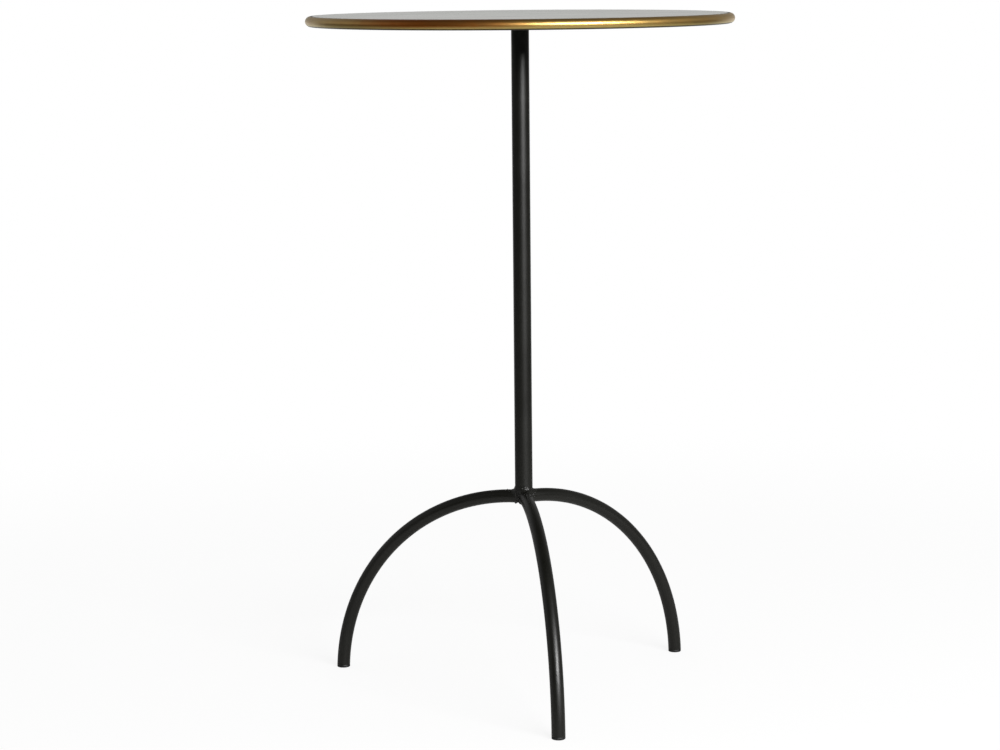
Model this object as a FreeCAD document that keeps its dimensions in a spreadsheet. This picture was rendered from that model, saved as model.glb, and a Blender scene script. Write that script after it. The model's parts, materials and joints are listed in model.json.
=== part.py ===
import FreeCAD, Part
import math
import os

import Sketcher

# Side table: a round inlaid top with a half-round brass band, on a slim tube with three bent rod legs.
# Millimetres, +Z up, origin on the floor under the middle of the stem, front leg along -Y.

# Sizes that can be set, each written once
driving_sizes = {
    "table_height": 610,
    # Top: inlay over board, inside the band
    "top_diameter": 380,
    "rim_height": 9,
    "rim_lip": 1.5,
    "tongue_reach": 3,
    "tongue_height": 1.6,
    "tongue_gap": 0.1,
    "inlay_thickness": 3,
    "inlay_arris": 0.4,
    "board_thickness": 6,
    "edge_gap": 0.15,
    # Plate under the board, with its screws and stud
    "plate_diameter": 100,
    "plate_thickness": 3,
    "screw_circle": 76,
    "screw_diameter": 4,
    "screw_head": 7.6,
    "screw_head_height": 2.2,
    "screw_length": 7.5,
    "screw_gap": 0.2,
    "recess_length": 4.4,
    "recess_width": 0.9,
    "recess_depth": 1.5,
    "stud_diameter": 8,
    "stud_length": 25,
    "stud_point": 1,
    "thread_gap": 0.1,
    # Stem
    "stem_diameter": 16,
    "stem_wall": 1.5,
    "stem_overlap": 3,
    "bush_length": 22,
    "plug_flange": 1,
    "plug_margin": 0.6,
    "plug_length": 9,
    "fit_gap": 0.05,
    # Legs: rod centre line level at the stem, then one arc down to the floor
    "rod_diameter": 12,
    "leg_rise": 175,
    "leg_lead": 3,
    "foot_radius": 183.9,
    "weld_radius": 2.6,
    "weld_set_in": 0.8,
    # Foot glides
    "glide_height": 2.5,
    "glide_edge": 0.9,
    "spigot_diameter": 5,
    "spigot_length": 8,
    "spigot_gap": 0.1,
}

# Sizes and places that follow from them
derived_sizes = {
    "inlay_bottom": "table_height - inlay_thickness",
    "board_bottom": "inlay_bottom - board_thickness",
    "plate_bottom": "board_bottom - plate_thickness",
    "rim_bottom": "table_height - rim_height",
    "rim_round": "(top_diameter - rim_height) / 2",
    "rim_inner": "rim_round - rim_lip",
    "tongue_tip": "rim_inner - tongue_reach",
    "tongue_middle": "board_bottom + board_thickness / 2 - rim_bottom",
    "tongue_low": "tongue_middle - tongue_height / 2",
    "tongue_high": "tongue_middle + tongue_height / 2",
    "inlay_radius": "rim_inner - edge_gap",
    "inlay_face": "inlay_radius - inlay_arris",
    "inlay_side": "inlay_thickness - inlay_arris",
    "board_radius": "rim_inner - edge_gap",
    "groove_floor": "tongue_tip - tongue_gap",
    "groove_low": "(board_thickness - tongue_height) / 2 - tongue_gap",
    "groove_high": "(board_thickness + tongue_height) / 2 + tongue_gap",
    "plate_radius": "plate_diameter / 2",
    "screw_place": "screw_circle / 2",
    "screw_shank": "screw_diameter / 2",
    "screw_cap": "screw_head / 2",
    "hole_shank": "screw_shank + screw_gap",
    "hole_cap": "screw_cap + screw_gap",
    "pilot_depth": "screw_length - plate_thickness + screw_gap",
    "recess_end": "screw_place - recess_length / 2",
    "recess_side": "-recess_width / 2",
    "recess_near": "screw_place - recess_width / 2",
    "recess_far": "-recess_length / 2",
    "stud_radius": "stud_diameter / 2",
    "stud_tip": "stud_radius - stud_point",
    "stud_bottom": "board_bottom - stud_length",
    "stud_hole": "stud_radius + fit_gap",
    "stem_radius": "stem_diameter / 2",
    "stem_inner": "stem_radius - stem_wall",
    "stem_bottom": "leg_rise - stem_overlap",
    "stem_length": "plate_bottom - stem_bottom",
    "bush_radius": "stem_inner - fit_gap",
    "bush_bore": "stud_radius + thread_gap",
    "bush_bottom": "plate_bottom - bush_length",
    "plug_rim": "stem_radius - plug_margin",
    "plug_radius": "stem_inner - fit_gap",
    "plug_bottom": "stem_bottom - plug_flange",
    "rod_radius": "rod_diameter / 2",
    "leg_reach": "foot_radius - leg_lead",
    "leg_bend": "(leg_reach ^ 2 + leg_rise ^ 2) / (2 * leg_rise)",
    "bend_height": "leg_rise - leg_bend",
    "leg_sweep": "acos(1 - leg_rise / leg_bend) + asin(rod_diameter / leg_bend)",
    "foot_centre": "leg_lead + sqrt(leg_bend ^ 2 - (glide_height - bend_height) ^ 2)",
    "trim_radius": "foot_radius + 2 * rod_diameter",
    "trim_depth": "glide_height + 3 * rod_diameter",
    "trim_bottom": "glide_height - trim_depth",
    "weld_place": "stem_radius - weld_set_in",
    "glide_face": "rod_radius - glide_edge",
    "glide_top": "glide_height + spigot_length",
    "spigot_radius": "spigot_diameter / 2",
    "spigot_hole": "spigot_radius + spigot_gap",
    "spigot_depth": "spigot_length + spigot_gap",
}

# The legs in order, evenly spaced about the stem from the front one
leg_sides = ["front", "right", "left"]
front_angle = -90
screw_count = 4

upright = FreeCAD.Vector(0, 0, 1)
doc = FreeCAD.newDocument("side_table")
sheet = doc.addObject("Spreadsheet::Sheet", "Sizes")


def fill_sheet():
    cells = {name: str(value) for name, value in driving_sizes.items()}
    cells.update({name: "=" + formula for name, formula in derived_sizes.items()})
    for row, (name, content) in enumerate(cells.items(), start=1):
        sheet.set(f"A{row}", name)
        sheet.set(f"B{row}", content)
        sheet.setAlias(f"B{row}", name)
    doc.recompute()


def bind(thing, **cells):
    for setting, cell in cells.items():
        thing.setExpression(setting, "Sizes." + cell)
    return thing


def place(thing, **cells):
    for axis, cell in cells.items():
        thing.setExpression("Placement.Base." + axis, "Sizes." + cell)
    return thing


def size(cell):
    return float(getattr(sheet, cell)) if cell else 0.0


def origin_feature(body, role):
    return next(feature for feature in body.Origin.OriginFeatures if feature.Role == role)


def cylinder(name, radius, height):
    return bind(doc.addObject("Part::Cylinder", name), Radius=radius, Height=height)


def cut(label, base, *tools):
    for tool in tools:
        piece = doc.addObject("Part::Cut", label + "_cut")
        piece.Base = base
        piece.Tool = tool
        base = piece
    base.Label = label
    return base


def pin_corner(sketch, edge, x_cell, z_cell):
    # A corner with no cell lies on the sketch axis
    for kind, cell, axis in (("DistanceX", x_cell, -2), ("DistanceY", z_cell, -1)):
        if cell is None:
            sketch.addConstraint(Sketcher.Constraint("PointOnObject", edge, 1, axis))
        else:
            rule = Sketcher.Constraint(kind, -1, 1, edge, 1, size(cell))
            index = sketch.addConstraint(rule)
            sketch.setExpression(f"Constraints[{index}]", "Sizes." + cell)


def arc_between(start, end, centre_x):
    # The centre lies at centre_x, equally far from both ends
    square_gap = end.x ** 2 + end.y ** 2 - start.x ** 2 - start.y ** 2
    centre_y = (square_gap - 2 * centre_x * (end.x - start.x)) / (2 * (end.y - start.y))
    centre = FreeCAD.Vector(centre_x, centre_y, 0)
    angles = [math.atan2(point.y - centre.y, point.x - centre.x) for point in (start, end)]
    circle = Part.Circle(centre, upright, start.distanceToPoint(centre))
    return Part.ArcOfCircle(circle, angles[0], angles[1])


def turned(label, corners):
    # A body turned about its upright axis; a third cell on a corner rounds the next stretch about it
    body = doc.addObject("PartDesign::Body", label)
    sketch = body.newObject("Sketcher::SketchObject", label + "_outline")
    sketch.AttachmentSupport = (origin_feature(body, "XZ_Plane"), [""])
    sketch.MapMode = "FlatFace"
    points = [FreeCAD.Vector(size(corner[0]), size(corner[1]), 0) for corner in corners]
    ends = points[1:] + points[:1]
    for corner, start, end in zip(corners, points, ends):
        is_arc = len(corner) == 3
        stretch = arc_between(start, end, size(corner[2])) if is_arc else Part.LineSegment(start, end)
        sketch.addGeometry(stretch)
    for edge, corner in enumerate(corners):
        following = (edge + 1) % len(corners)
        sketch.addConstraint(Sketcher.Constraint("Coincident", edge, 2, following, 1))
        pin_corner(sketch, edge, corner[0], corner[1])
        if len(corner) == 3:
            rule = Sketcher.Constraint("DistanceX", -1, 1, edge, 3, size(corner[2]))
            index = sketch.addConstraint(rule)
            sketch.setExpression(f"Constraints[{index}]", "Sizes." + corner[2])
    turning = body.newObject("PartDesign::Revolution", label + "_turning")
    turning.Profile = sketch
    turning.ReferenceAxis = (sketch, ["V_Axis"])
    turning.Angle = 360
    body.Tip = turning
    doc.recompute()
    return body


def repeat_round_stem(body, features):
    pattern = body.newObject("PartDesign::PolarPattern", body.Label + "_pattern")
    pattern.Originals = features
    pattern.Axis = (origin_feature(body, "Z_Axis"), [""])
    pattern.Angle = 360
    pattern.Occurrences = screw_count
    body.Tip = pattern


def top_inlay():
    body = turned("top_inlay", [
        (None, None),
        ("inlay_radius", None),
        ("inlay_radius", "inlay_side"),
        ("inlay_face", "inlay_thickness"),
        (None, "inlay_thickness"),
    ])
    return place(body, z="inlay_bottom")


def top_board():
    # Grooved edge for the band's tongue, pilot holes underneath for the screws
    body = turned("top_board", [
        (None, None),
        ("board_radius", None),
        ("board_radius", "groove_low"),
        ("groove_floor", "groove_low"),
        ("groove_floor", "groove_high"),
        ("board_radius", "groove_high"),
        ("board_radius", "board_thickness"),
        (None, "board_thickness"),
    ])
    pilot = body.newObject("PartDesign::SubtractiveCylinder", "pilot_hole")
    bind(pilot, Radius="hole_shank", Height="pilot_depth")
    place(pilot, x="screw_place")
    repeat_round_stem(body, [pilot])
    return place(body, z="board_bottom")


def rim_band():
    # Half-round outside, with a tongue on the inner face
    body = turned("rim_band", [
        ("rim_inner", None),
        ("rim_round", None, "rim_round"),
        ("rim_round", "rim_height"),
        ("rim_inner", "rim_height"),
        ("rim_inner", "tongue_high"),
        ("tongue_tip", "tongue_high"),
        ("tongue_tip", "tongue_low"),
        ("rim_inner", "tongue_low"),
    ])
    return place(body, z="rim_bottom")


def mount_plate():
    body = doc.addObject("PartDesign::Body", "mount_plate")
    disc = body.newObject("PartDesign::AdditiveCylinder", "plate_disc")
    bind(disc, Radius="plate_radius", Height="plate_thickness")
    stud_seat = body.newObject("PartDesign::SubtractiveCylinder", "stud_seat")
    bind(stud_seat, Radius="stud_hole", Height="plate_thickness")
    hole = body.newObject("PartDesign::SubtractiveCylinder", "screw_hole")
    bind(hole, Radius="hole_shank", Height="plate_thickness")
    place(hole, x="screw_place")
    countersink = body.newObject("PartDesign::SubtractiveCone", "screw_countersink")
    bind(countersink, Radius1="hole_cap", Radius2="hole_shank", Height="screw_head_height")
    place(countersink, x="screw_place")
    repeat_round_stem(body, [hole, countersink])
    return place(body, z="plate_bottom")


def plate_screws():
    # Four separate screws, heads down, each with a cross recess
    body = doc.addObject("PartDesign::Body", "plate_screws")
    head = body.newObject("PartDesign::AdditiveCone", "screw_cone")
    bind(head, Radius1="screw_cap", Radius2="screw_shank", Height="screw_head_height")
    place(head, x="screw_place")
    shank = body.newObject("PartDesign::AdditiveCylinder", "screw_body")
    bind(shank, Radius="screw_shank", Height="screw_length")
    place(shank, x="screw_place")
    along = body.newObject("PartDesign::SubtractiveBox", "recess_along")
    bind(along, Length="recess_length", Width="recess_width", Height="recess_depth")
    place(along, x="recess_end", y="recess_side")
    across = body.newObject("PartDesign::SubtractiveBox", "recess_across")
    bind(across, Length="recess_width", Width="recess_length", Height="recess_depth")
    place(across, x="recess_near", y="recess_far")
    repeat_round_stem(body, [head, shank, along, across])
    return place(body, z="plate_bottom")


def plate_stud():
    body = turned("plate_stud", [
        (None, None),
        ("stud_tip", None),
        ("stud_radius", "stud_point"),
        ("stud_radius", "stud_length"),
        (None, "stud_length"),
    ])
    return place(body, z="stud_bottom")


def stem_bush():
    outside = cylinder("bush_outside", "bush_radius", "bush_length")
    bore = cylinder("bush_thread", "bush_bore", "bush_length")
    return place(cut("stem_bush", outside, bore), z="bush_bottom")


def stem_tube():
    outside = cylinder("tube_outside", "stem_radius", "stem_length")
    bore = cylinder("tube_bore", "stem_inner", "stem_length")
    return place(cut("stem_tube", outside, bore), z="stem_bottom")


def stem_plug():
    body = turned("stem_plug", [
        (None, None),
        ("plug_rim", None),
        ("plug_rim", "plug_flange"),
        ("plug_radius", "plug_flange"),
        ("plug_radius", "plug_length"),
        (None, "plug_length"),
    ])
    return place(body, z="plug_bottom")


def bent_rod(name):
    # An arc of a torus standing in the XZ plane, from level at the top to just below the floor
    rod = doc.addObject("Part::Torus", name)
    bind(rod, Radius1="leg_bend", Radius2="rod_radius", Angle3="leg_sweep")
    rod.Placement.Rotation = FreeCAD.Rotation(FreeCAD.Vector(1, 1, 1), -120)
    return place(rod, x="leg_lead", z="bend_height")


def turn_to(piece, angle):
    piece.Placement.Rotation = FreeCAD.Rotation(upright, angle)
    return piece


def leg(side, angle, stem_space, floor_space):
    # The rod is coped to the stem, trimmed flat above the glide and drilled for its spigot
    rod = bent_rod("rod_" + side)
    spigot_space = cylinder("spigot_space_" + side, "spigot_hole", "spigot_depth")
    place(spigot_space, x="foot_centre", z="glide_height")
    return turn_to(cut("leg_" + side, rod, stem_space, floor_space, spigot_space), angle)


def weld(side, angle, stem_space):
    # A round bead about the rod, where it meets the stem
    bead = doc.addObject("Part::Torus", "bead_" + side)
    bind(bead, Radius1="rod_radius", Radius2="weld_radius")
    bead.Placement.Rotation = FreeCAD.Rotation(FreeCAD.Vector(0, 1, 0), 90)
    place(bead, x="weld_place", z="leg_rise")
    return turn_to(cut("weld_" + side, bead, stem_space, bent_rod("rod_space_" + side)), angle)


def glide(side, angle):
    body = turned("glide_" + side, [
        (None, None),
        ("glide_face", None, "glide_face"),
        ("rod_radius", "glide_edge"),
        ("rod_radius", "glide_height"),
        ("spigot_radius", "glide_height"),
        ("spigot_radius", "glide_top"),
        (None, "glide_top"),
    ])
    body.setExpression("Placement.Base.x", f"Sizes.foot_centre * cos({angle} deg)")
    body.setExpression("Placement.Base.y", f"Sizes.foot_centre * sin({angle} deg)")
    return body


def build():
    fill_sheet()
    pieces = [top_inlay(), top_board(), rim_band(), mount_plate(), plate_screws(), plate_stud()]
    pieces += [stem_bush(), stem_tube(), stem_plug()]
    stem_space = cylinder("stem_space", "stem_radius", "plate_bottom")
    floor_space = place(cylinder("floor_space", "trim_radius", "trim_depth"), z="trim_bottom")
    for turn, side in enumerate(leg_sides):
        angle = front_angle + 360 * turn / len(leg_sides)
        pieces.append(leg(side, angle, stem_space, floor_space))
        pieces.append(weld(side, angle, stem_space))
        pieces.append(glide(side, angle))
    doc.recompute()
    return pieces


def check(pieces):
    for thing in doc.Objects:
        if "Invalid" in thing.State or "Error" in thing.State:
            raise RuntimeError(f"{thing.Label} failed to build: {thing.State}")
    for piece in pieces:
        if piece.Shape.isNull() or not piece.Shape.isValid() or not piece.Shape.Solids:
            raise RuntimeError(f"{piece.Label} has no valid solid")


def write(pieces):
    os.makedirs("parts", exist_ok=True)
    for piece in pieces:
        piece.Shape.exportStep(f"parts/{piece.Label}.step")
        print(piece.Label, len(piece.Shape.Solids), "solids", round(piece.Shape.Volume, 1), "mm3")


pieces = build()
check(pieces)
write(pieces)
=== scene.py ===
import json
import math
import random

import bmesh
import bpy
from mathutils import Matrix, Vector, noise


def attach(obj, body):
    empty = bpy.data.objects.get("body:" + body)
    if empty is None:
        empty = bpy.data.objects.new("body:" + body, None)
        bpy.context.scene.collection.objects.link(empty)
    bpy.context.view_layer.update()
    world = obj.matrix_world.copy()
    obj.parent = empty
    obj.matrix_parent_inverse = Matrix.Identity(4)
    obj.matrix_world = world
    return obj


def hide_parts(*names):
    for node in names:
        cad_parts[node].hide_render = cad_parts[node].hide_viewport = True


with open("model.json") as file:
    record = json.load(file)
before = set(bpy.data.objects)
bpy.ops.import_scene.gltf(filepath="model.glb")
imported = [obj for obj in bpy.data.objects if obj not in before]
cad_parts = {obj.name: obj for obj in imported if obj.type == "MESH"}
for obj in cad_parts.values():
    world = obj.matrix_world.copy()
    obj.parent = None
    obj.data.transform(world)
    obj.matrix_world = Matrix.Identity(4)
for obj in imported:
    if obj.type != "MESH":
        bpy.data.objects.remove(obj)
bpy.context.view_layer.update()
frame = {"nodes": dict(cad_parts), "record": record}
nodes = frame["nodes"]
scene = bpy.context.scene
scene.view_settings.view_transform = "Standard"
mm = 0.001
mergeDistance = 1e-6                           # metres
smooth = {"interpolation_type": "SMOOTHSTEP"}  # for a range with soft ends
noiseSpread = (0.3, 0.7)                       # most values of a noise lie between these
print("frame loaded:", len(nodes), "nodes")


def hexColour(code):  # sRGB hex to linear RGBA
    channels = [int(code[place:place + 2], 16) / 255 for place in (1, 3, 5)]
    linear = [c / 12.92 if c <= 0.04045 else ((c + 0.055) / 1.055) ** 2.4 for c in channels]
    return linear + [1.0]


def perMetre(size):  # texture scale for a feature of this size in millimetres
    return 1000 / size


# Inputs are numbers, colours or links, in the order of the sockets or by their names
def addNode(tree, kind, inputs=(), output=0, **settings):
    node = tree.nodes.new("ShaderNode" + kind)
    for name, value in settings.items():
        setattr(node, name, value)
    for socket, value in inputs.items() if isinstance(inputs, dict) else enumerate(inputs):
        if isinstance(value, bpy.types.NodeSocket):
            tree.links.new(value, node.inputs[socket])
        else:
            node.inputs[socket].default_value = value
    return node.outputs[output] if node.outputs else node


def newMaterial(name):
    material = bpy.data.materials.new(name)
    material.use_nodes = True
    material.node_tree.nodes.clear()
    return material, material.node_tree


# Camera at the photograph's place: metres and degrees, heading clockwise from +Y, pitch down
view = {
    "place": (-0.3734, -2.4373, 0.6635),
    "heading": 8.23,
    "pitch": 8.684,
    "roll": -0.553,
    "lens": 99.4, "sensor": 36.0,  # mm
    "clipEnd": 100.0,
}


def placeCamera():
    camera = bpy.data.objects.new("camera", bpy.data.cameras.new("camera"))
    scene.collection.objects.link(camera)
    camera.data.lens = view["lens"]
    camera.data.sensor_width = view["sensor"]
    camera.data.clip_end = view["clipEnd"]
    turn = Matrix.Rotation(-math.radians(view["heading"]), 4, "Z")
    tilt = Matrix.Rotation(math.radians(90 - view["pitch"]), 4, "X")
    roll = Matrix.Rotation(math.radians(view["roll"]), 4, "Z")
    camera.matrix_world = Matrix.Translation(view["place"]) @ turn @ tilt @ roll
    scene.camera = camera


placeCamera()

# A soft box on the front right, with a grid that keeps its light off the room, and a panel
# overhead that fills in evenly and leaves no mark in reflections: metres, watts, degrees
lamps = {
    "keyBox": {
        "place": (0.78, -1.83, 1.05), "aim": (0.0, 0.0, 0.6), "size": (1.4, 0.4),
        "power": 23.0, "spread": 100.0, "mirrored": True, "onGlass": "EXCLUDE",
    },
    "overheadPanel": {
        "place": (0.0, 0.0, 2.6), "aim": (0.0, 0.0, 0.6), "size": (2.4, 2.4),
        "power": 28.0, "spread": 180.0, "mirrored": False, "onGlass": None,
    },
}
# The same soft box on the glass alone, polarised so that it leaves no glare there
lamps["polarisedBox"] = {**lamps["keyBox"], "mirrored": False, "onGlass": "INCLUDE"}


def hangLamps():
    for name, lamp in lamps.items():
        light = bpy.data.lights.new(name, "AREA")
        light.shape = "RECTANGLE"
        light.size, light.size_y = lamp["size"]
        light.energy = lamp["power"]
        light.spread = math.radians(lamp["spread"])
        holder = bpy.data.objects.new(name, light)
        holder.visible_camera = False
        holder.visible_glossy = lamp["mirrored"]
        scene.collection.objects.link(holder)
        holder.location = lamp["place"]
        towards = Vector(lamp["aim"]) - Vector(lamp["place"])
        holder.rotation_euler = towards.to_track_quat("-Z", "Y").to_euler()
        if lamp["onGlass"]:
            lit = bpy.data.collections.new(name + "Glass")
            lit.objects.link(nodes["top_inlay"])
            lit.collection_objects[0].light_linking.link_state = lamp["onGlass"]
            holder.light_linking.receiver_collection = lit


hangLamps()

plainWhite = "#ffffff"  # what the camera sees of the room and the floor

# Studio room: dark towards the camera, paler at the sides, with a pale backdrop low down behind
# the table. Ranges are on a unit ball about the table: -1 is straight at the camera and 1
# straight back, or up
room = {
    "front": "#464644",
    "leftWall": "#a0a09f",
    "rightWall": "#828280",
    "ceiling": "#484847",
    "backdrop": "#b9b9b7",
    "sidesFrom": (-0.70, -0.10),
    "ceilingFrom": (0.30, 0.90),
    "backdropWidth": (0.70, 0.92),
    "backdropHeight": (0.05, 0.24),
}


def lightRoom():
    world = bpy.data.worlds.new("studioRoom")
    scene.world = world
    world.use_nodes = True
    tree = world.node_tree
    tree.nodes.clear()
    direction = addNode(tree, "TexCoord", output="Generated")
    facing = addNode(tree, "Mapping", {
        "Vector": direction, "Rotation": (0, 0, math.radians(view["heading"]))})
    right, back, up = addNode(tree, "SeparateXYZ", [facing]).node.outputs
    across = addNode(tree, "MapRange", [right, -1.0, 1.0])
    walls = addNode(tree, "MixRGB", [
        across, hexColour(room["leftWall"]), hexColour(room["rightWall"])])
    beside = addNode(tree, "MapRange", [back, *room["sidesFrom"]], **smooth)
    tone = addNode(tree, "MixRGB", [beside, hexColour(room["front"]), walls])
    above = addNode(tree, "MapRange", [up, *room["ceilingFrom"]], **smooth)
    tone = addNode(tree, "MixRGB", [above, tone, hexColour(room["ceiling"])])
    behind = addNode(tree, "MapRange", [back, *room["backdropWidth"]], **smooth)
    low = addNode(tree, "MapRange", [up, *room["backdropHeight"], 1.0, 0.0], **smooth)
    pale = addNode(tree, "Math", [behind, low], operation="MULTIPLY")
    tone = addNode(tree, "MixRGB", [pale, tone, hexColour(room["backdrop"])])
    seen = addNode(tree, "LightPath", output="Is Camera Ray")
    tone = addNode(tree, "MixRGB", [seen, tone, hexColour(plainWhite)])
    light = addNode(tree, "Background", [tone, 1.0])
    addNode(tree, "OutputWorld", [light])


lightRoom()

# Plain pale floor, darker further out, with a pale strip behind the table for reflections: metres
plainFloor = {
    "size": 60.0,
    "colour": "#bfbebb",
    "farColour": "#9a9a98",
    "middle": (0.3, -0.3, 0.0), "farFrom": (0.5, 1.2),  # of the nearer colour, and where it ends
    "stripFrom": (0.7, 1.8),
    "stripWidth": (0.55, 0.90),                         # straight back is 1
    "mirrored": 0.80,                                   # share of white that reflections see there
    "shadow": 0.13, "shadowReach": (0.4, 1.4),          # share of true shade that shows, and where
}


def layFloor():
    mesh = bpy.data.meshes.new("floor")
    sheet = bmesh.new()
    bmesh.ops.create_grid(sheet, x_segments=1, y_segments=1, size=plainFloor["size"])
    sheet.to_mesh(mesh)
    sheet.free()
    floor = bpy.data.objects.new("floor", mesh)
    scene.collection.objects.link(floor)
    material, tree = newMaterial("plain_studio_floor")
    place = addNode(tree, "TexCoord", output="Object")
    facing = addNode(tree, "Mapping", {
        "Vector": place, "Rotation": (0, 0, math.radians(view["heading"]))})
    bearing = addNode(tree, "VectorMath", [facing], operation="NORMALIZE")
    back = addNode(tree, "SeparateXYZ", [bearing], output="Y")
    away = addNode(tree, "VectorMath", [place], output="Value", operation="LENGTH")
    apart = addNode(tree, "VectorMath", [place, plainFloor["middle"]], output="Value",
                    operation="DISTANCE")
    ray = addNode(tree, "LightPath").node.outputs
    # Reflections see some of the white in the strip, and the camera sees it all over
    mirrored = addNode(tree, "Math", [ray["Is Glossy Ray"], ray["Is Transmission Ray"]],
                       operation="ADD")
    strip = addNode(tree, "MapRange", [back, *plainFloor["stripWidth"]], **smooth)
    far = addNode(tree, "MapRange", [
        away, *plainFloor["stripFrom"], 0.0, plainFloor["mirrored"]], **smooth)
    strip = addNode(tree, "Math", [strip, far], operation="MULTIPLY")
    mirrored = addNode(tree, "Math", [mirrored, strip], operation="MULTIPLY")
    seen = addNode(tree, "Math", [ray["Is Camera Ray"], mirrored], operation="ADD", use_clamp=True)
    white = addNode(tree, "MapRange", [
        away, *plainFloor["shadowReach"], 1 - plainFloor["shadow"], 1.0], **smooth)
    share = addNode(tree, "Math", [seen, white], operation="MULTIPLY")
    outer = addNode(tree, "MapRange", [apart, *plainFloor["farFrom"]], **smooth)
    colour = addNode(tree, "MixRGB", [
        outer, hexColour(plainFloor["colour"]), hexColour(plainFloor["farColour"])])
    colour = addNode(tree, "MixRGB", [ray["Is Camera Ray"], colour, hexColour(plainWhite)])
    paint = addNode(tree, "BsdfDiffuse", {"Color": colour})
    glow = addNode(tree, "Emission", {"Strength": 1.0})
    above = addNode(tree, "MixShader", [share, paint, glow])
    # From below the floor is clear, so that the underside can be looked at
    below = addNode(tree, "NewGeometry", output="Backfacing")
    clear = addNode(tree, "BsdfTransparent")
    both = addNode(tree, "MixShader", [below, above, clear])
    addNode(tree, "OutputMaterial", [both])
    mesh.materials.append(material)


layFloor()
print("stage set: camera, lamps, room, floor")

# Steel, powder coated satin black: fine orange peel, slow waves in the film, gloss a little uneven
powderCoat = {
    "dark": "#080805",
    "light": "#0e0e0a",
    "roughness": (0.33, 0.41),
    "gloss": 0.48,
    "cloud": 40.0,         # size of the patches of gloss, mm
    "wave": (20.0, 0.05),  # pitch and depth, mm
    "peel": (1.6, 0.02),   # pitch and depth, mm, drawn deeper than real peel to show
}


def powderCoatedSteel():
    material, tree = newMaterial("powder_coated_steel_satin_black")
    place = addNode(tree, "TexCoord", output="Object")
    wavePitch, waveDepth = powderCoat["wave"]
    peelPitch, peelDepth = powderCoat["peel"]
    cloud = addNode(tree, "TexNoise", {
        "Vector": place, "Scale": perMetre(powderCoat["cloud"]), "Detail": 3.0})
    wave = addNode(tree, "TexNoise", {
        "Vector": place, "Scale": perMetre(wavePitch), "Detail": 1.0})
    peel = addNode(tree, "TexNoise", {
        "Vector": place, "Scale": perMetre(peelPitch), "Detail": 1.0})
    colour = addNode(tree, "MixRGB", [
        cloud, hexColour(powderCoat["dark"]), hexColour(powderCoat["light"])])
    gloss = addNode(tree, "MapRange", [cloud, *noiseSpread, *powderCoat["roughness"]])
    film = addNode(tree, "Bump", {"Height": wave, "Strength": 1.0, "Distance": waveDepth * mm})
    film = addNode(tree, "Bump", {
        "Height": peel, "Strength": 0.5, "Distance": peelDepth * mm, "Normal": film})
    coat = addNode(tree, "BsdfPrincipled", {
        "Base Color": colour, "Roughness": gloss,
        "Specular IOR Level": powderCoat["gloss"], "Normal": film})
    addNode(tree, "OutputMaterial", [coat])
    return material


# Brass, drawn to a half round, polished by hand along the band and thinly lacquered: pale where
# rubbed, brown where tarnish stays, with painted shade browner towards the front left, away from
# the key lamp, and painted shade under its lower edge and in the corner beside the glass.
# Each From is a range of noise, and each share the tarnish that it gives or leaves
agedBrass = {
    "bright": "#d4c376",
    "tarnish": "#b8661a",
    # Painted shade, dark brown, under the lower edge and in the corner beside the glass
    "paintedShade": "#3a2c14",
    "solder": "#8d8672",
    "roughness": (0.36, 0.42),
    "dullness": 0.20,                               # added to it where the polish is missing
    "lacquer": 0.4, "lacquerRoughness": 0.30,
    # Patches and flecks of tarnish, mm across
    "patch": 120.0, "patchFrom": (0.35, 0.65), "patchShare": (0.3, 0.5),
    "fleck": 9.0, "fleckFrom": (0.4, 0.8), "fleckShare": 0.12,
    # Polishing streaks: length, width and depth, mm, drawn wider than real ones to show
    "streak": (60.0, 0.5, 0.0005), "streakFrom": (0.2, 0.6), "streakShare": 0.85,
    # Painted shade: browner towards the front left, on the side away from the key lamp, mm
    "leftShade": (-102.0, -160.0), "leftShadeReach": (15.0, 120.0), "leftShadeShare": 0.6,
    "rubbed": (602.6, 604.6), "rubbedShare": 0.25,  # heights between which rubbing ends, mm
    # Below these heights and beside the glass the colour is painted shade and the polish is missing
    "shadedUnpolished": (601.9, 602.5),                   # heights between which polish begins, mm
    "corner": (185.3, 186.5),                       # radii for the same beside the glass, mm
    "seam": (0.12, 0.4),                            # half width of the soldered joint, mm
}


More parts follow.
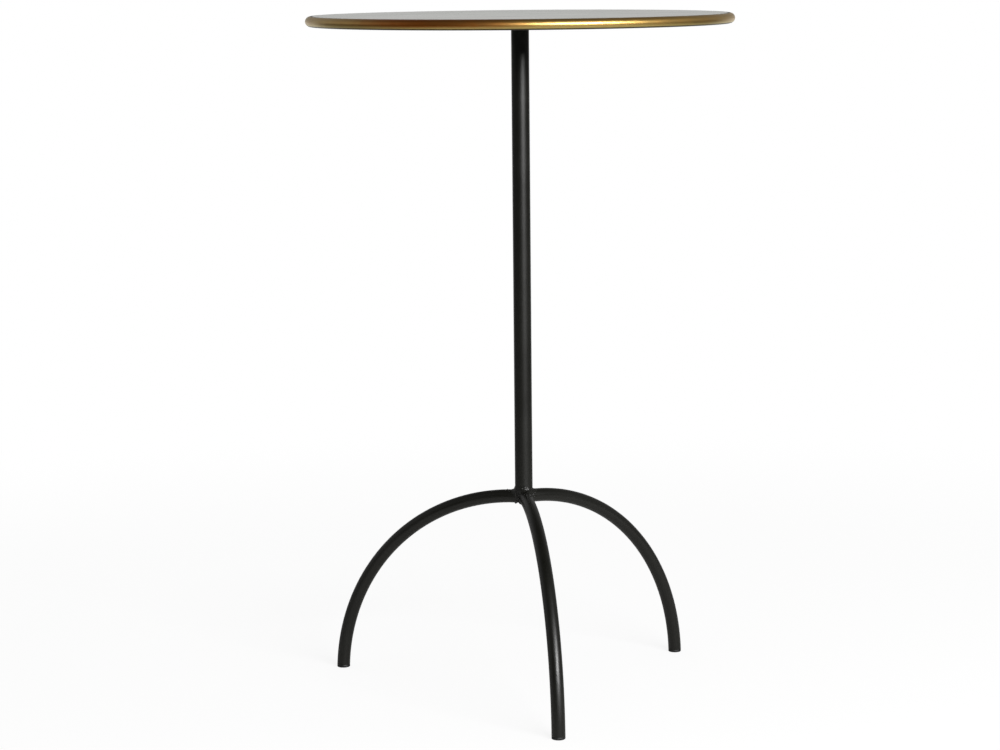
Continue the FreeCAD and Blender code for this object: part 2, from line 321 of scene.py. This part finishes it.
def polishedBrass():
    material, tree = newMaterial("brass_drawn_and_hand_polished")
    place = addNode(tree, "TexCoord", output="Object")
    inMillimetres = addNode(tree, "Mapping", {"Vector": place, "Scale": [perMetre(1)] * 3})
    right, back, height = addNode(tree, "SeparateXYZ", [inMillimetres]).node.outputs
    flat = addNode(tree, "Mapping", {"Vector": place, "Scale": (perMetre(1), perMetre(1), 0)})
    patch = addNode(tree, "TexNoise", {
        "Vector": place, "Scale": perMetre(agedBrass["patch"]), "Detail": 2.0})
    fleck = addNode(tree, "TexNoise", {
        "Vector": place, "Scale": perMetre(agedBrass["fleck"]), "Detail": 5.0})
    length, width, depth = agedBrass["streak"]
    drawn = addNode(tree, "Mapping", {
        "Vector": place, "Scale": (perMetre(length), perMetre(length), perMetre(width))})
    streak = addNode(tree, "TexNoise", {"Vector": drawn, "Scale": 1.0, "Detail": 2.0})
    # Tarnish: patches, the painted shade at the front left and flecks together, thinned along the
    # streaks and where rubbed
    patches = addNode(tree, "MapRange", [
        patch, *agedBrass["patchFrom"], *agedBrass["patchShare"]])
    # Painted shade, browner towards the front left, away from the key lamp
    apart = addNode(tree, "VectorMath", [flat, (*agedBrass["leftShade"], 0)], output="Value",
                    operation="DISTANCE")
    leftShade = addNode(tree, "MapRange", [
        apart, *agedBrass["leftShadeReach"], agedBrass["leftShadeShare"], 0.0], **smooth)
    flecks = addNode(tree, "MapRange", [
        fleck, *agedBrass["fleckFrom"], 0.0, agedBrass["fleckShare"]])
    brown = addNode(tree, "Math", [patches, leftShade], operation="ADD")
    brown = addNode(tree, "Math", [brown, flecks], operation="ADD")
    streaks = addNode(tree, "MapRange", [
        streak, *agedBrass["streakFrom"], agedBrass["streakShare"], 1.0])
    brown = addNode(tree, "Math", [brown, streaks], operation="MULTIPLY")
    kept = addNode(tree, "MapRange", [
        height, *agedBrass["rubbed"], agedBrass["rubbedShare"], 1.0])
    brown = addNode(tree, "Math", [brown, kept], operation="MULTIPLY")
    colour = addNode(tree, "MixRGB", [
        brown, hexColour(agedBrass["bright"]), hexColour(agedBrass["tarnish"])])
    # Painted shade under the lower edge and in the corner beside the glass, which are also left
    # unpolished and rougher
    under = addNode(tree, "MapRange", [height, *agedBrass["shadedUnpolished"], 1.0, 0.0])
    radius = addNode(tree, "VectorMath", [flat], output="Value", operation="LENGTH")
    corner = addNode(tree, "MapRange", [radius, *agedBrass["corner"], 1.0, 0.0])
    shadeAndDull = addNode(tree, "Math", [under, corner], operation="MAXIMUM")
    colour = addNode(tree, "MixRGB", [shadeAndDull, colour, hexColour(agedBrass["paintedShade"])])
    # The soldered joint at the back
    aside = addNode(tree, "Math", [right], operation="ABSOLUTE")
    seam = addNode(tree, "MapRange", [aside, *agedBrass["seam"], 1.0, 0.0])
    rear = addNode(tree, "Math", [back, 0.0], operation="GREATER_THAN")
    seam = addNode(tree, "Math", [seam, rear], operation="MULTIPLY")
    colour = addNode(tree, "MixRGB", [seam, colour, hexColour(agedBrass["solder"])])
    gloss = addNode(tree, "MapRange", [fleck, *noiseSpread, *agedBrass["roughness"]])
    rough = addNode(tree, "Math", [shadeAndDull, agedBrass["dullness"]], operation="MULTIPLY")
    gloss = addNode(tree, "Math", [gloss, rough], operation="ADD")
    face = addNode(tree, "Bump", {"Height": streak, "Strength": 1.0, "Distance": depth * mm})
    brass = addNode(tree, "BsdfPrincipled", {
        "Base Color": colour, "Metallic": 1.0, "Roughness": gloss, "Normal": face,
        "Coat Weight": agedBrass["lacquer"], "Coat Roughness": agedBrass["lacquerRoughness"]})
    addNode(tree, "OutputMaterial", [brass])
    return material


# Float glass, painted grey on the back: even colour under a smooth face, with faint wiping marks
# in the gloss
paintedGlass = {
    "colour": "#aeb0ac",
    "shade": "#a5a7a3",
    "roughness": (0.08, 0.12),
    "ior": 1.52,
    "cloud": 60.0,                          # mm across
    "wipe": (90.0, 7.0), "wipeTurn": 35.0,  # length and width, mm, and degrees about the stem
    "marksFrom": (0.15, 0.4),               # range of noise that makes the gloss uneven
}


def backPaintedGlass():
    material, tree = newMaterial("float_glass_back_painted_grey")
    place = addNode(tree, "TexCoord", output="Object")
    cloud = addNode(tree, "TexNoise", {
        "Vector": place, "Scale": perMetre(paintedGlass["cloud"]), "Detail": 3.0})
    length, width = paintedGlass["wipe"]
    wiped = addNode(tree, "Mapping", {
        "Vector": place, "Rotation": (0, 0, math.radians(paintedGlass["wipeTurn"])),
        "Scale": (perMetre(length), perMetre(width), 1)})
    wipe = addNode(tree, "TexNoise", {
        "Vector": wiped, "Scale": 1.0, "Detail": 3.0, "Distortion": 0.6})
    marks = addNode(tree, "Math", [cloud, wipe], operation="MULTIPLY")
    colour = addNode(tree, "MixRGB", [
        cloud, hexColour(paintedGlass["colour"]), hexColour(paintedGlass["shade"])])
    gloss = addNode(tree, "MapRange", [
        marks, *paintedGlass["marksFrom"], *paintedGlass["roughness"]])
    glass = addNode(tree, "BsdfPrincipled", {
        "Base Color": colour, "Roughness": gloss, "IOR": paintedGlass["ior"]})
    addNode(tree, "OutputMaterial", [glass])
    return material


# Fibreboard, sprayed matt black: the spray leaves a fine stipple, and fibres lift a little under it
sprayedBoard = {
    "dark": "#171716",
    "light": "#262624",
    "roughness": (0.68, 0.82),
    "stipple": (0.9, 0.05), "fibre": (6.0, 0.06),  # pitch and depth, mm
}


def sprayedFibreboard():
    material, tree = newMaterial("fibreboard_sprayed_matt_black")
    place = addNode(tree, "TexCoord", output="Object")
    stipplePitch, stippleDepth = sprayedBoard["stipple"]
    fibrePitch, fibreDepth = sprayedBoard["fibre"]
    stipple = addNode(tree, "TexNoise", {
        "Vector": place, "Scale": perMetre(stipplePitch), "Detail": 2.0})
    fibre = addNode(tree, "TexNoise", {
        "Vector": place, "Scale": perMetre(fibrePitch), "Detail": 6.0, "Distortion": 1.2})
    colour = addNode(tree, "MixRGB", [
        fibre, hexColour(sprayedBoard["dark"]), hexColour(sprayedBoard["light"])])
    gloss = addNode(tree, "MapRange", [fibre, *noiseSpread, *sprayedBoard["roughness"]])
    face = addNode(tree, "Bump", {"Height": fibre, "Strength": 0.6, "Distance": fibreDepth * mm})
    face = addNode(tree, "Bump", {
        "Height": stipple, "Strength": 0.8, "Distance": stippleDepth * mm, "Normal": face})
    board = addNode(tree, "BsdfPrincipled", {
        "Base Color": colour, "Roughness": gloss, "Normal": face})
    addNode(tree, "OutputMaterial", [board])
    return material


# Steel, zinc plated and passivated: pale grey with a faint straw bloom
platedZinc = {
    "grey": "#b7b9b7",
    "straw": "#b3ab92",
    "roughness": (0.28, 0.42),
    "bloom": 4.0,          # mm across
    "grain": (0.5, 0.01),  # pitch and depth, mm
}


def zincPlatedSteel():
    material, tree = newMaterial("steel_zinc_plated")
    place = addNode(tree, "TexCoord", output="Object")
    pitch, depth = platedZinc["grain"]
    bloom = addNode(tree, "TexNoise", {
        "Vector": place, "Scale": perMetre(platedZinc["bloom"]), "Detail": 3.0})
    grain = addNode(tree, "TexNoise", {"Vector": place, "Scale": perMetre(pitch), "Detail": 2.0})
    colour = addNode(tree, "MixRGB", [
        bloom, hexColour(platedZinc["grey"]), hexColour(platedZinc["straw"])])
    gloss = addNode(tree, "MapRange", [bloom, *noiseSpread, *platedZinc["roughness"]])
    face = addNode(tree, "Bump", {"Height": grain, "Strength": 0.5, "Distance": depth * mm})
    zinc = addNode(tree, "BsdfPrincipled", {
        "Base Color": colour, "Metallic": 1.0, "Roughness": gloss, "Normal": face})
    addNode(tree, "OutputMaterial", [zinc])
    return material


# Polyethylene, moulded black in a spark-eroded tool: dull and finely pitted, scuffed paler where
# it slides
mouldedPlastic = {
    "dark": "#0d0d0d",
    "scuff": "#2a2a29",
    "roughness": (0.50, 0.65),
    "pit": (0.6, 0.02),                         # pitch and depth, mm
    "scuffTop": (0.1, 0.9), "scuffShare": 0.8,  # heights where the scuffs end, mm
}


def mouldedPolyethylene():
    material, tree = newMaterial("polyethylene_moulded_black")
    place = addNode(tree, "TexCoord", output="Object")
    inMillimetres = addNode(tree, "Mapping", {"Vector": place, "Scale": [perMetre(1)] * 3})
    height = addNode(tree, "SeparateXYZ", [inMillimetres], output="Z")
    pitch, depth = mouldedPlastic["pit"]
    pit = addNode(tree, "TexNoise", {"Vector": place, "Scale": perMetre(pitch), "Detail": 2.0})
    low = addNode(tree, "MapRange", [
        height, *mouldedPlastic["scuffTop"], mouldedPlastic["scuffShare"], 0.0])
    worn = addNode(tree, "Math", [low, pit], operation="MULTIPLY")
    colour = addNode(tree, "MixRGB", [
        worn, hexColour(mouldedPlastic["dark"]), hexColour(mouldedPlastic["scuff"])])
    gloss = addNode(tree, "MapRange", [pit, *noiseSpread, *mouldedPlastic["roughness"]])
    face = addNode(tree, "Bump", {"Height": pit, "Strength": 0.6, "Distance": depth * mm})
    plastic = addNode(tree, "BsdfPrincipled", {
        "Base Color": colour, "Roughness": gloss, "Normal": face})
    addNode(tree, "OutputMaterial", [plastic])
    return material


finishes = {
    "base_black": powderCoatedSteel(),
    "rim_brass": polishedBrass(),
    "inlay_glass": backPaintedGlass(),
    "board_black": sprayedFibreboard(),
    "fixing_zinc": zincPlatedSteel(),
    "glide_plastic": mouldedPolyethylene(),
}
for part in frame["record"]["subparts"]:
    for slot in nodes[part["node"]].material_slots:
        slot.material = finishes[part["material_slot"]]
print("finishes applied:", len(finishes))


def finishPiece(name, shape, slot, replaced, crease):
    bmesh.ops.remove_doubles(shape, verts=shape.verts, dist=mergeDistance)
    bmesh.ops.recalc_face_normals(shape, faces=shape.faces)
    mesh = bpy.data.meshes.new(name)
    shape.to_mesh(mesh)
    shape.free()
    mesh.shade_smooth()
    mesh.set_sharp_from_angle(angle=math.radians(crease))
    mesh.materials.append(finishes[slot])
    piece = bpy.data.objects.new(name, mesh)
    scene.collection.objects.link(piece)
    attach(piece, "root")
    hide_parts(replaced)


# A section to be spun, from points in millimetres on the plane of X and Z
def drawSection(shape, points, closed):
    corners = [shape.verts.new((across * mm, 0, height * mm)) for across, height in points]
    ends = corners[1:] + corners[:1] if closed else corners[1:]
    for first, second in zip(corners, ends):
        shape.edges.new((first, second))
    return corners + list(shape.edges)


# Weld beads: laid by hand round each rod end and coated with the rest. Millimetres and degrees;
# the section's points are along the rod and out from its axis
weldBead = {
    "rodAxis": 175.0, "rodRadius": 6.0, "stemRadius": 8.0, "bendRadius": 181.0, "bendStart": 3.0,
    "section": ((12.8, 5.5), (11.9, 6.12), (10.6, 6.5), (9.6, 7.2), (8.9, 8.1),
                (8.5, 9.2), (8.1, 9.9), (7.2, 9.6), (7.0, 5.5)),
    "cuts": 2, "steps": 90,                # between the section's points, and round the rod
    "underSize": 0.25, "underFall": 1.6,   # share left under the rod, and the power it falls by
    "sideReach": 7.2,                      # how far sideways it follows the stem's round
    "smoothing": (2, 0.5),                 # rounds and strength
    "lump": 2.3, "fineLump": 0.5,          # size, and share of lumps half as large
    "ripple": 1.5, "rippleHeight": 0.3,    # pitch, and height against the lumps
    "wander": (3.0, 2.0),                  # pitch, and how far it shifts the ripples
    "seedStep": 17.3,                      # moves the lumps on from seed to seed
    # Spatter: along the rod, and round it from its top
    "dropAlong": (12.0, 25.0), "dropTilt": (-20.0, 85.0), "dropRadius": (0.3, 0.6), "dropCuts": 2,
    "crease": 60.0,
    # How far each climbs the stem and reaches along the rod, against the section
    "sides": {
        "front": {
            "angle": -90, "climb": 1.25, "reach": 0.9, "lumpHeight": 0.55, "seed": 3, "drops": 12,
        },
        "right": {
            "angle": 30, "climb": 0.55, "reach": 1.3, "lumpHeight": 0.6, "seed": 11, "drops": 8,
        },
        "left": {
            "angle": 150, "climb": 1.0, "reach": 1.0, "lumpHeight": 0.22, "seed": 7, "drops": 3,
        },
    },
}


def rodDroop(along):  # how far the rod has bent down at this distance
    return (along - weldBead["bendStart"]) ** 2 / (2 * weldBead["bendRadius"])


def sitBead(vert, weld):  # fit one point of the turned bead to the stem's round and the rod's bend
    rodRadius, stemRadius = weldBead["rodRadius"], weldBead["stemRadius"]
    underSize = weldBead["underSize"]
    point = vert.co / mm
    out = math.hypot(point.y, point.z)
    up = point.z / out
    size = underSize + (1 - underSize) * ((1 + up) / 2) ** weldBead["underFall"]
    grown = rodRadius + (out - rodRadius) * (size * weld["climb"] if out > rodRadius else 1)
    side = point.y / out * grown
    stemFace = math.sqrt(stemRadius ** 2 - min(abs(side), weldBead["sideReach"]) ** 2)
    ahead = point.x - stemRadius
    along = stemFace + ahead * (size * weld["reach"] if ahead > 0 else 1)
    vert.co = Vector((along, side, up * grown - rodDroop(along))) * mm


def rippleBead(bead, weld):
    lumpSize, fineLump = weldBead["lump"], weldBead["fineLump"]
    wanderPitch, wanderShift = weldBead["wander"]
    seedShift = Vector((weld["seed"] * weldBead["seedStep"], 0, 0))
    for vert in bead.verts:
        spot = vert.co / mm
        lump = noise.noise(spot / lumpSize + seedShift)
        lump += fineLump * noise.noise(spot / (lumpSize / 2) + seedShift)
        arc = math.atan2(spot.y, spot.z) * math.hypot(spot.y, spot.z)
        shift = wanderShift * noise.noise(spot / wanderPitch)
        ridge = weldBead["rippleHeight"] * math.sin(math.tau * arc / weldBead["ripple"] + shift)
        vert.co += vert.normal * (lump + ridge) * weld["lumpHeight"] * mm


def spatterBead(bead, weld):  # drops on the rod beside the bead
    spatter = random.Random(weld["seed"])
    for drop in range(weld["drops"]):
        along = spatter.uniform(*weldBead["dropAlong"])
        tilt = math.radians(spatter.uniform(*weldBead["dropTilt"]))
        radius = spatter.uniform(*weldBead["dropRadius"])
        side = math.sin(tilt) * weldBead["rodRadius"]
        height = math.cos(tilt) * weldBead["rodRadius"] - rodDroop(along)
        place = Matrix.Translation(Vector((along, side, height)) * mm)
        bmesh.ops.create_icosphere(bead, subdivisions=weldBead["dropCuts"], radius=radius * mm,
                                   matrix=place)


def layBead(name, weld):
    bead = bmesh.new()
    drawSection(bead, weldBead["section"], closed=True)
    bmesh.ops.subdivide_edges(bead, edges=bead.edges, cuts=weldBead["cuts"])
    bmesh.ops.spin(bead, geom=list(bead.verts) + list(bead.edges), cent=(0, 0, 0), axis=(1, 0, 0),
                   angle=math.tau, steps=weldBead["steps"], use_merge=True)
    bmesh.ops.remove_doubles(bead, verts=bead.verts, dist=mergeDistance)
    bmesh.ops.recalc_face_normals(bead, faces=bead.faces)
    for vert in bead.verts:
        sitBead(vert, weld)
    rounds, strength = weldBead["smoothing"]
    for smoothing in range(rounds):
        bmesh.ops.smooth_vert(bead, verts=bead.verts, factor=strength, use_axis_x=True,
                              use_axis_y=True, use_axis_z=True)
    bead.normal_update()
    rippleBead(bead, weld)
    spatterBead(bead, weld)
    turn = Matrix.Rotation(math.radians(weld["angle"]), 4, "Z")
    lift = Matrix.Translation((0, 0, weldBead["rodAxis"] * mm))
    bmesh.ops.transform(bead, matrix=lift @ turn, verts=bead.verts)
    finishPiece("weldBead_" + name, bead, "base_black", "weld_" + name, weldBead["crease"])


for name, weld in weldBead["sides"].items():
    layBead(name, weld)
print("weld beads laid:", len(weldBead["sides"]))

# Foot glides: a rounded lip, a gate mark under the middle and a spigot up the rod. Millimetres and
# degrees; the section's points are out from the foot's middle and up from the floor
footGlide = {
    "section": ((0, 0.4), (0.9, 0.4), (1.3, 0.0), (5.1, 0.0), (5.6, 0.08), (5.9, 0.35), (6.0, 0.8),
                (6.0, 2.0), (5.6, 2.5), (2.5, 2.5), (2.5, 10.1), (2.1, 10.5), (0, 10.5)),
    "steps": 48,
    "place": 183.8,  # from the stem's axis
    "angles": {"front": -90, "right": 30, "left": 150},
    "crease": 40.0,
}


def mouldGlide(name, angle):
    glide = bmesh.new()
    section = drawSection(glide, footGlide["section"], closed=False)
    bmesh.ops.spin(glide, geom=section, cent=(0, 0, 0), axis=(0, 0, 1), angle=math.tau,
                   steps=footGlide["steps"], use_merge=True)
    turn = Matrix.Rotation(math.radians(angle), 4, "Z")
    shift = Matrix.Translation((footGlide["place"] * mm, 0, 0))
    bmesh.ops.transform(glide, matrix=turn @ shift, verts=glide.verts)
    finishPiece("footGlide_" + name, glide, "glide_plastic", "glide_" + name, footGlide["crease"])


for name, angle in footGlide["angles"].items():
    mouldGlide(name, angle)
print("foot glides moulded:", len(footGlide["angles"]))

# Plate screws: countersunk, with a cross cut in the head; millimetres, crease in degrees
plateScrew = {
    "face": 598.0, "circle": 38.0, "count": 4,  # height of the heads, radius they stand on
    "headRadius": 3.8, "headHeight": 2.2,
    "shankRadius": 2.0, "length": 7.5,
    "tipRadius": 1.2, "tipLength": 0.6,
    "steps": 24,
    "cross": 4.2, "crossDepth": 1.4,
    "crossCells": 3,       # the cross is the middle row and column of a grid, so many cells a side
    "driven": (1.7, 0.4),  # share of the screw's own angle and a start, radians: all stand askew
    "crease": 30.0,
}


def turnScrew(screws, angle):
    screw = bmesh.new()
    length, cells = plateScrew["length"], plateScrew["crossCells"]
    section = drawSection(screw, (
        (plateScrew["headRadius"], 0),
        (plateScrew["shankRadius"], plateScrew["headHeight"]),
        (plateScrew["shankRadius"], length - plateScrew["tipLength"]),
        (plateScrew["tipRadius"], length),
        (0, length),
    ), closed=False)
    bmesh.ops.spin(screw, geom=section, cent=(0, 0, 0), axis=(0, 0, 1), angle=math.tau,
                   steps=plateScrew["steps"], use_merge=True)
    bmesh.ops.remove_doubles(screw, verts=screw.verts, dist=mergeDistance)
    rim = [edge for edge in screw.edges if edge.is_boundary]
    # The cross is a grid without its corner cells, joined to the rim and pressed in
    grid = bmesh.ops.create_grid(screw, x_segments=cells, y_segments=cells,
                                 size=plateScrew["cross"] / 2 * mm)["verts"]
    cross = list(dict.fromkeys(face for vert in grid for face in vert.link_faces))
    arm = plateScrew["cross"] / (2 * cells) * mm
    middles = {cell: cell.calc_center_median() for cell in cross}
    corners = [cell for cell in cross if min(abs(middles[cell].x), abs(middles[cell].y)) > arm]
    bmesh.ops.delete(screw, geom=corners, context="FACES")
    cross = [cell for cell in cross if cell.is_valid]
    edges = dict.fromkeys(edge for cell in cross for edge in cell.edges)
    lip = [edge for edge in edges if edge.is_boundary]
    bmesh.ops.bridge_loops(screw, edges=rim + lip)
    pressed = bmesh.ops.extrude_face_region(screw, geom=cross)["geom"]
    bmesh.ops.delete(screw, geom=cross, context="FACES_ONLY")
    bmesh.ops.translate(screw, vec=(0, 0, plateScrew["crossDepth"] * mm),
                        verts=[item for item in pressed if isinstance(item, bmesh.types.BMVert)])
    share, start = plateScrew["driven"]
    driven = Matrix.Rotation(angle * share + start, 4, "Z")
    shift = Matrix.Translation(Vector((plateScrew["circle"], 0, plateScrew["face"])) * mm)
    place = Matrix.Rotation(angle, 4, "Z") @ shift
    bmesh.ops.transform(screw, matrix=place @ driven, verts=screw.verts)
    bmesh.ops.recalc_face_normals(screw, faces=screw.faces)
    part = bpy.data.meshes.new("screw")
    screw.to_mesh(part)
    screw.free()
    screws.from_mesh(part)
    bpy.data.meshes.remove(part)


screws = bmesh.new()
for turn in range(plateScrew["count"]):
    turnScrew(screws, math.tau * turn / plateScrew["count"])
finishPiece("plateScrews", screws, "fixing_zinc", "plate_screws", plateScrew["crease"])
print("plate screws turned:", plateScrew["count"])
